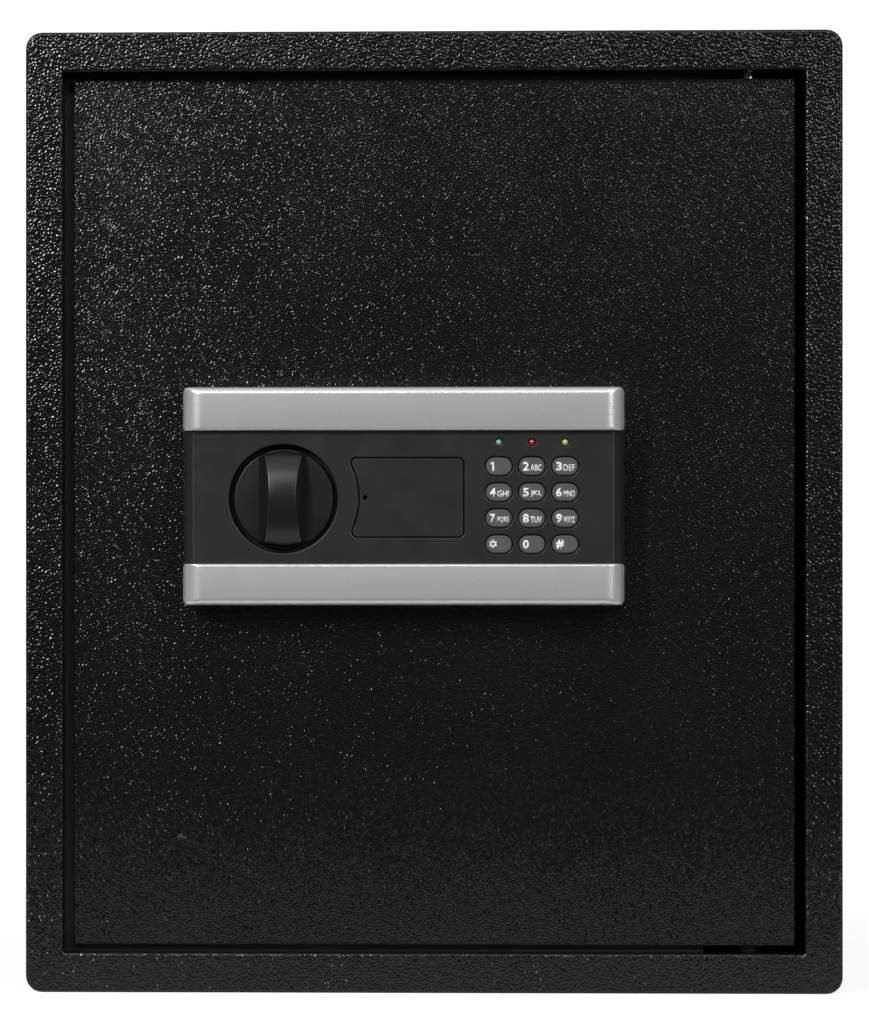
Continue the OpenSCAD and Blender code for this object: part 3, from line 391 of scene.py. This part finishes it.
def soften(name, width):
    """Rounds a CAD node's sharp edges, with modifiers alone."""
    node = nodes[name]
    weld = node.modifiers.new("weld", "WELD")
    weld.merge_threshold = WELD_GAP
    whole = node.modifiers.new("whole_faces", "DECIMATE")
    whole.decimate_type = "DISSOLVE"
    whole.angle_limit = FLAT_ANGLE
    bevel = node.modifiers.new("edges", "BEVEL")
    bevel.width = width
    bevel.segments = EDGE_SEGMENTS
    bevel.limit_method = "ANGLE"
    bevel.angle_limit = SHARP_ANGLE
    bevel.use_clamp_overlap = False
    normals = node.modifiers.new("normals", "WEIGHTED_NORMAL")
    normals.weight = LARGE_FACE_WEIGHT


for name, width in EDGE_WIDTHS.items():
    soften(name, width)


# ---- Smooth forms in place of three faceted nodes ----

def shell(name, rows, node, body, finish):
    """Smooth surface through rows of points, in place of a CAD node."""
    count = len(rows[0])
    faces = [(i * count + k, i * count + k + 1, (i + 1) * count + k + 1, (i + 1) * count + k)
             for i in range(len(rows) - 1) for k in range(count - 1)]
    mesh = bpy.data.meshes.new(name)
    mesh.from_pydata([point for row in rows for point in row], [], faces)
    mesh.polygons.foreach_set("use_smooth", [True] * len(faces))
    mesh.materials.append(FINISHES[finish])
    piece = bpy.data.objects.new(name, mesh)
    bpy.context.scene.collection.objects.link(piece)
    joined = piece.modifiers.new("joined", "WELD")
    joined.merge_threshold = WELD_GAP
    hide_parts(node)
    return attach(piece, body)


BAR_END_R = 7 * MM                # front to back rounding of a bar's ends
BAR_END_LEAD = 2.0 * MM           # how much longer than deep that rounding is
BAR_EDGE_R = 3.2 * MM             # its long outer edge
BAR_CORNER_R = 2.5 * MM           # its outer corners seen from the front
BAR_INNER_R = 1.2 * MM            # its long edge beside the black face
BAR_INNER_CORNER = 0.4            # share of the corner rounding on that side
BAR_MIDDLE = (-0.6, -0.2, 0.2, 0.6)    # where its straight length is divided, in half lengths
BAR_END_STEPS, BAR_EDGE_STEPS, BAR_INNER_STEPS = 16, 10, 6


def quarter(steps):
    """Angles from 0 to 90 degrees."""
    return [math.pi / 2 * i / steps for i in range(steps + 1)]


def silver_bar(node, side):
    """A bar's skin, open at the back where the bar sits; side is 1 for the upper bar."""
    low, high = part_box(node)
    middle, half = (low.x + high.x) / 2, (high.x - low.x) / 2
    inner, outer = (low.z, high.z) if side > 0 else (high.z, low.z)
    ends = [(half - (BAR_END_R + BAR_END_LEAD) * (1 - math.sin(a)), BAR_END_R * (1 - math.cos(a)))
            for a in quarter(BAR_END_STEPS)]
    columns = [(-x, drop) for x, drop in reversed(ends)]
    columns += [(half * share, 0.0) for share in BAR_MIDDLE]
    columns += ends
    rows = []
    for x, end_drop in columns:
        past = max(abs(x) - half + BAR_CORNER_R, 0.0)
        corner = BAR_CORNER_R - math.sqrt(max(BAR_CORNER_R ** 2 - past ** 2, 0.0))
        z_in = inner + side * corner * BAR_INNER_CORNER
        z_out = outer - side * corner
        line = [(z_in + side * BAR_INNER_R * (1 - math.sin(a)), BAR_INNER_R * (1 - math.cos(a)))
                for a in reversed(quarter(BAR_INNER_STEPS))]
        line += [(z_out - side * BAR_EDGE_R * (1 - math.sin(a)), BAR_EDGE_R * (1 - math.cos(a)))
                 for a in quarter(BAR_EDGE_STEPS)]
        row = [(middle + x, high.y, line[0][0])]
        row += [(middle + x, low.y + math.hypot(end_drop, drop), z) for z, drop in line]
        row.append((middle + x, high.y, line[-1][0]))
        rows.append(row)
    walls = [[(x, high.y, z) for x, y, z in rows[i]] for i in (0, -1)]
    return shell(node + "_skin", [walls[0]] + rows + [walls[1]],
                 node, "door", "silver_plastic")


silver_bar("top_bar", 1)
silver_bar("bottom_bar", -1)

GRIP_RISE = 10 * MM               # crown of the grip above the disc's face
DISC_EDGE_R = 0.9 * MM
DISC_DEPTH = 4.7 * MM
DISC_RING = 0.5                   # where its face is divided, in radii
DISC_STEPS, RIM_STEPS = 96, 6
KNOB_HUB_R = 7 * MM
GRIP_BASE = 9.8 * MM              # half width of the grip at its foot, straight from end to end
GRIP_END, GRIP_WAIST = 8.5 * MM, 6.1 * MM    # half widths of its crown
GRIP_EDGE_R = 0.9 * MM
GRIP_FOOT = 0.8 * MM              # the flank's run-out on the disc
GRIP_END_ROUND = 0.06             # share of the half length over which each end rounds down
GRIP_INSET = 0.6 * MM             # from the disc's rim to the grip's ends
GRIP_STEPS, FLANK_STEPS, CROWN_STEPS = 30, 10, 5


def knob_disc(centre, face_y, back_y, radius):
    """Turned disc with a rounded rim and its hub."""
    profile = [(0.0, face_y), (radius * DISC_RING, face_y)]
    profile += [(radius - DISC_EDGE_R * (1 - math.sin(a)), face_y + DISC_EDGE_R * (1 - math.cos(a)))
                for a in quarter(RIM_STEPS)]
    profile += [(radius, face_y + DISC_DEPTH), (KNOB_HUB_R, face_y + DISC_DEPTH),
                (KNOB_HUB_R, back_y), (0.0, back_y)]
    turns = [2 * math.pi * i / DISC_STEPS for i in range(DISC_STEPS + 1)]
    return shell("knob_disc", [[(centre.x + r * math.cos(a), y, centre.z + r * math.sin(a))
                                for r, y in profile] for a in turns],
                 "knob", "knob", "knob_shaded_black")


def knob_grip(centre, face_y, radius):
    """Grip with an arched crown, a waist, and flanks that run out to a straight foot."""
    reach = radius - GRIP_INSET
    foot = GRIP_BASE + GRIP_FOOT
    arch_r = (radius ** 2 + GRIP_RISE ** 2) / (2 * GRIP_RISE)
    stations = [math.sin(math.pi / 2 * i / GRIP_STEPS)
                for i in range(-GRIP_STEPS, GRIP_STEPS + 1)]
    rows = []
    for s in stations:
        crown_w = GRIP_WAIST + (GRIP_END - GRIP_WAIST) * s * s
        end = max(abs(s) - 1 + GRIP_END_ROUND, 0.0) / GRIP_END_ROUND
        share = math.sqrt(max(1 - end * end, 0.0))
        flank = []
        for a in quarter(FLANK_STEPS):
            turn = a / (math.pi / 2)
            bowed = foot - (foot - crown_w) * math.cos(a)
            straight = crown_w + (foot - crown_w) * turn
            flank.append(((bowed + straight) / 2, 1 - (math.sin(a) + turn) / 2))
        edge = [(crown_w - GRIP_EDGE_R * (1 - math.sin(a)), GRIP_EDGE_R * (1 - math.cos(a)))
                for a in quarter(CROWN_STEPS)]
        half = [(x, None, drop) for x, drop in edge] + [(x, up, None) for x, up in flank[1:]]
        row = []
        for x, up, drop in ([(-x, up, drop) for x, up, drop in reversed(half)]
                            + [(0.0, None, 0.0)] + half):
            z = s * math.sqrt(reach ** 2 - x ** 2)
            crown = GRIP_RISE - arch_r + math.sqrt(arch_r ** 2 - z * z)
            edge_r = min(GRIP_EDGE_R, crown)
            rise = crown - drop * edge_r / GRIP_EDGE_R if up is None else (crown - edge_r) * up
            row.append((centre.x + x, face_y - rise * share, centre.z + z))
        rows.append(row)
    return shell("knob_grip", rows, "knob", "knob", "knob_shaded_black")


knob_low, knob_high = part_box("knob")
knob_centre = (knob_low + knob_high) / 2
knob_r = (knob_high.x - knob_low.x) / 2
knob_disc(knob_centre, knob_low.y + GRIP_RISE, knob_high.y, knob_r)
knob_grip(knob_centre, knob_low.y + GRIP_RISE, knob_r)


# ---- Key legends ----

LEGENDS = {
    "key_1": ("1", ""), "key_2": ("2", "ABC"), "key_3": ("3", "DEF"),
    "key_4": ("4", "GHI"), "key_5": ("5", "JKL"), "key_6": ("6", "MNO"),
    "key_7": ("7", "PQRS"), "key_8": ("8", "TUV"), "key_9": ("9", "WXYZ"),
    "key_star": ("*", ""), "key_0": ("0", ""), "key_hash": ("#", ""),
}
LEGEND_BASE = -1.9 * MM           # baseline below the middle of the key
LEGEND_PROUD = 0.04 * MM
TYPE_STEPS = 4                    # divisions of each curve of a character
DIGIT = {"left": -3.8 * MM, "height": 3.8 * MM, "bold": 0.035}
DIGIT_W = {"#": 3.4 * MM, "7": 2.3 * MM}
USUAL_DIGIT_W = 2.55 * MM
LETTERS = {"left": -0.6 * MM, "height": 2.7 * MM, "bold": 0.012}
LETTERS_W = 4.8 * MM
STROKES = {                       # straight strokes: x, z, x, z in mm from the key's middle
    "1": [(-2.4, -1.9, -2.4, 1.9), (-3.4, 1.0, -2.5, 1.7)],
    "*": [(-2.4 + 1.7 * math.cos(a), 0.2 + 1.7 * math.sin(a),
           -2.4 - 1.7 * math.cos(a), 0.2 - 1.7 * math.sin(a))
          for a in (math.radians(turn) for turn in (30, 90, 150))],
}
STROKE_W = 0.75                   # mm

INK_GRAIN, INK_DEPTH, INK_PATCH = 0.0003, 0.000004, 0.0006
ink = Paint("legend_ink", (0.9, 0.9, 0.9), 0.5)
ink.bump(ink.noise(INK_GRAIN, detail=2), INK_DEPTH)
ink.mottle_and_painted_shade(ink.noise(INK_PATCH, detail=3), (0.84, 0.84, 0.84), (0.94, 0.94, 0.94))


def key_middle(key):
    """Middle of a key's face, brought forward by the print's height."""
    low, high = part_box(key)
    return Vector(((low.x + high.x) / 2, low.y - LEGEND_PROUD, (low.z + high.z) / 2))


def raised(name, mesh, key):
    """Gives a flat print its thickness and ink, and lets it ride on its key."""
    piece = bpy.data.objects.new(name, mesh)
    bpy.context.scene.collection.objects.link(piece)
    thick = piece.modifiers.new("print", "SOLIDIFY")
    thick.thickness = 2 * LEGEND_PROUD
    thick.offset = -1
    mesh.materials.clear()
    mesh.materials.append(ink.material)
    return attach(piece, key)


def stroked(name, strokes, key):
    """A print made of straight strokes."""
    base = key_middle(key)
    corners = []
    for x0, z0, x1, z1 in strokes:
        start, end = Vector((x0, 0, z0)), Vector((x1, 0, z1))
        side = (end - start).normalized().cross(Vector((0, 1, 0))) * STROKE_W / 2
        corners += [base + corner * MM
                    for corner in (start - side, end - side, end + side, start + side)]
    mesh = bpy.data.meshes.new(name)
    mesh.from_pydata(corners, [], [tuple(range(4 * i, 4 * i + 4)) for i in range(len(strokes))])
    return raised(name, mesh, key)


def printed(name, text, key, left, width, height, bold):
    """A print in the built-in type, scaled to a width and a height."""
    curve = bpy.data.curves.new(name, "FONT")
    curve.body = text
    curve.offset = bold
    curve.resolution_u = TYPE_STEPS
    source = bpy.data.objects.new(name + "_curve", curve)
    bpy.context.scene.collection.objects.link(source)
    bpy.context.view_layer.update()
    mesh = bpy.data.meshes.new_from_object(source.evaluated_get(
        bpy.context.evaluated_depsgraph_get()))
    bpy.data.objects.remove(source)
    low = [min(v.co[i] for v in mesh.vertices) for i in (0, 1)]
    size = [max(v.co[i] for v in mesh.vertices) - low[i] for i in (0, 1)]
    base = key_middle(key) + Vector((left, 0, LEGEND_BASE))
    for v in mesh.vertices:
        x, y = (v.co[0] - low[0]) / size[0] * width, (v.co[1] - low[1]) / size[1] * height
        v.co = base + Vector((x, 0, y))
    return raised(name, mesh, key)


for key, (digit, letters) in LEGENDS.items():
    own = key.removeprefix("key_")
    if digit in STROKES:
        stroked("digit_" + own, STROKES[digit], key)
    else:
        printed("digit_" + own, digit, key, width=DIGIT_W.get(digit, USUAL_DIGIT_W), **DIGIT)
    if letters:
        printed("letters_" + own, letters, key, width=LETTERS_W, **LETTERS)


# ---- Studio ----

SWEEP_STEPS = 12


def sweep(name, front, back, half_width, wall, radius):
    """Floor that curves up into a backdrop, as one strip."""
    profile = [(front, 0.0), (back - radius, 0.0)]
    profile += [(back - radius + radius * math.sin(a), radius - radius * math.cos(a))
                for a in quarter(SWEEP_STEPS)[1:-1]]
    profile += [(back, radius), (back, wall)]
    vertices = [(x, y, z) for y, z in profile for x in (-half_width, half_width)]
    faces = [(2 * i, 2 * i + 1, 2 * i + 3, 2 * i + 2) for i in range(len(profile) - 1)]
    mesh = bpy.data.meshes.new(name)
    mesh.from_pydata(vertices, [], faces)
    mesh.polygons.foreach_set("use_smooth", [True] * len(faces))
    made = bpy.data.objects.new(name, mesh)
    bpy.context.scene.collection.objects.link(made)
    return made


FLOOR_TONE, FLOOR_ROUGH = (0.8, 0.8, 0.8), 0.8
WHITE_SHARE = 0.75                # of the floor as the camera sees it; the rest keeps the shadow
WHITE_IN_GLOSS = 0.15             # of that white in glossy reflections
WHITE_NEAR, WHITE_FAR = (0.3, 1.15), (1.2, 1.45)   # y and strength of the white


def floor_paint():
    """Pale floor that the camera sees as white, with soft shadows kept near the object."""
    p = Paint("studio_floor", FLOOR_TONE, FLOOR_ROUGH)
    rays = p.node("ShaderNodeLightPath")
    seen = p.math("MAXIMUM", rays.outputs["Is Camera Ray"], rays.outputs["Is Transmission Ray"])
    glossy = p.math("MULTIPLY", rays.outputs["Is Glossy Ray"], WHITE_IN_GLOSS)
    seen = p.math("MAXIMUM", seen, glossy)
    place = p.node("ShaderNodeSeparateXYZ")
    p.link(p.coords, place.inputs["Vector"])
    glow = p.node("ShaderNodeEmission")
    levels = [value for pair in zip(WHITE_NEAR, WHITE_FAR) for value in pair]
    p.link(p.spread(place.outputs["Y"], *levels), glow.inputs["Strength"])
    mixed = p.node("ShaderNodeMixShader")
    p.link(p.math("MULTIPLY", seen, WHITE_SHARE), mixed.inputs["Fac"])
    p.link(p.bsdf.outputs["BSDF"], mixed.inputs[1])
    p.link(glow.outputs["Emission"], mixed.inputs[2])
    p.link(mixed.outputs["Shader"], p.tree.nodes["Material Output"].inputs["Surface"])
    return p.material


floor = sweep("studio_sweep", front=-0.31, back=5.0, half_width=5.0, wall=5.0, radius=1.0)
floor.data.materials.append(floor_paint())


DOOR_MIDDLE = (0, cad_low.y, (cad_low.z + cad_high.z) / 2)
LIGHTS = (                        # name, place, width and height, watts
    ("left", (-0.92, -1.45, 1.0), (0.18, 0.6), 17),
    ("right", (1.0, -1.45, 0.85), (0.18, 0.8), 8),
    ("top", (-0.05, -1.15, 1.08), (1.6, 0.1), 4.6),
)


def area_light(name, place, size, power):
    """Lamp that looks at the middle of the door."""
    lamp = bpy.data.lights.new(name, "AREA")
    lamp.shape = "RECTANGLE"
    lamp.size, lamp.size_y = size
    lamp.energy = power
    made = bpy.data.objects.new(name, lamp)
    made.location = place
    aim = Vector(DOOR_MIDDLE) - Vector(place)
    made.rotation_euler = aim.to_track_quat("-Z", "Y").to_euler()
    bpy.context.scene.collection.objects.link(made)


for light in LIGHTS:
    area_light(*light)


WORLD_LOW, WORLD_HIGH = (0.05, 0.05), (0.9, 0.7)    # upward part of a direction and its light


def studio_world():
    """Dark at the horizon, lighter overhead; white where the camera itself looks."""
    world = bpy.data.worlds.new("studio")
    world.use_nodes = True
    tree = world.node_tree

    def node(kind, **inputs):
        made = tree.nodes.new(kind)
        for key, value in inputs.items():
            made.inputs[key.replace("_", " ")].default_value = value
        return made

    direction = node("ShaderNodeSeparateXYZ")
    tree.links.new(node("ShaderNodeTexCoord").outputs["Generated"], direction.inputs[0])
    level = node("ShaderNodeMapRange", From_Min=WORLD_LOW[0], From_Max=WORLD_HIGH[0],
                 To_Min=WORLD_LOW[1], To_Max=WORLD_HIGH[1])
    tree.links.new(direction.outputs["Z"], level.inputs["Value"])
    ambient = tree.nodes["Background"]
    ambient.inputs["Color"].default_value = (1, 1, 1, 1)
    tree.links.new(level.outputs["Result"], ambient.inputs["Strength"])
    white = node("ShaderNodeBackground", Color=(1, 1, 1, 1), Strength=1.0)
    either = node("ShaderNodeMixShader")
    tree.links.new(node("ShaderNodeLightPath").outputs["Is Camera Ray"], either.inputs["Fac"])
    tree.links.new(ambient.outputs["Background"], either.inputs[1])
    tree.links.new(white.outputs["Background"], either.inputs[2])
    tree.links.new(either.outputs["Shader"], tree.nodes["World Output"].inputs["Surface"])
    return world


bpy.context.scene.world = studio_world()
bpy.context.scene.view_settings.view_transform = "Standard"

# ---- Camera ----

lens_data = bpy.data.cameras.new("camera")
camera = bpy.data.objects.new("camera", lens_data)
bpy.context.scene.collection.objects.link(camera)
yaw = math.atan2(CAMERA_X - PHOTO_CENTRE_X, CAMERA_DISTANCE)
camera.location = (CAMERA_X, cad_low.y + KNOB_PROUD - CAMERA_DISTANCE, CAMERA_Z)
camera.rotation_euler = (math.pi / 2, 0, yaw)
picture_h = IMAGE_H * PHOTO_MM_PER_PX * MM
lens_data.sensor_width = SENSOR_MM
lens_data.lens = SENSOR_MM * math.hypot(CAMERA_X - PHOTO_CENTRE_X, CAMERA_DISTANCE) / picture_h
lens_data.shift_y = (PHOTO_CENTRE_Z - CAMERA_Z) / picture_h
bpy.context.scene.camera = camera
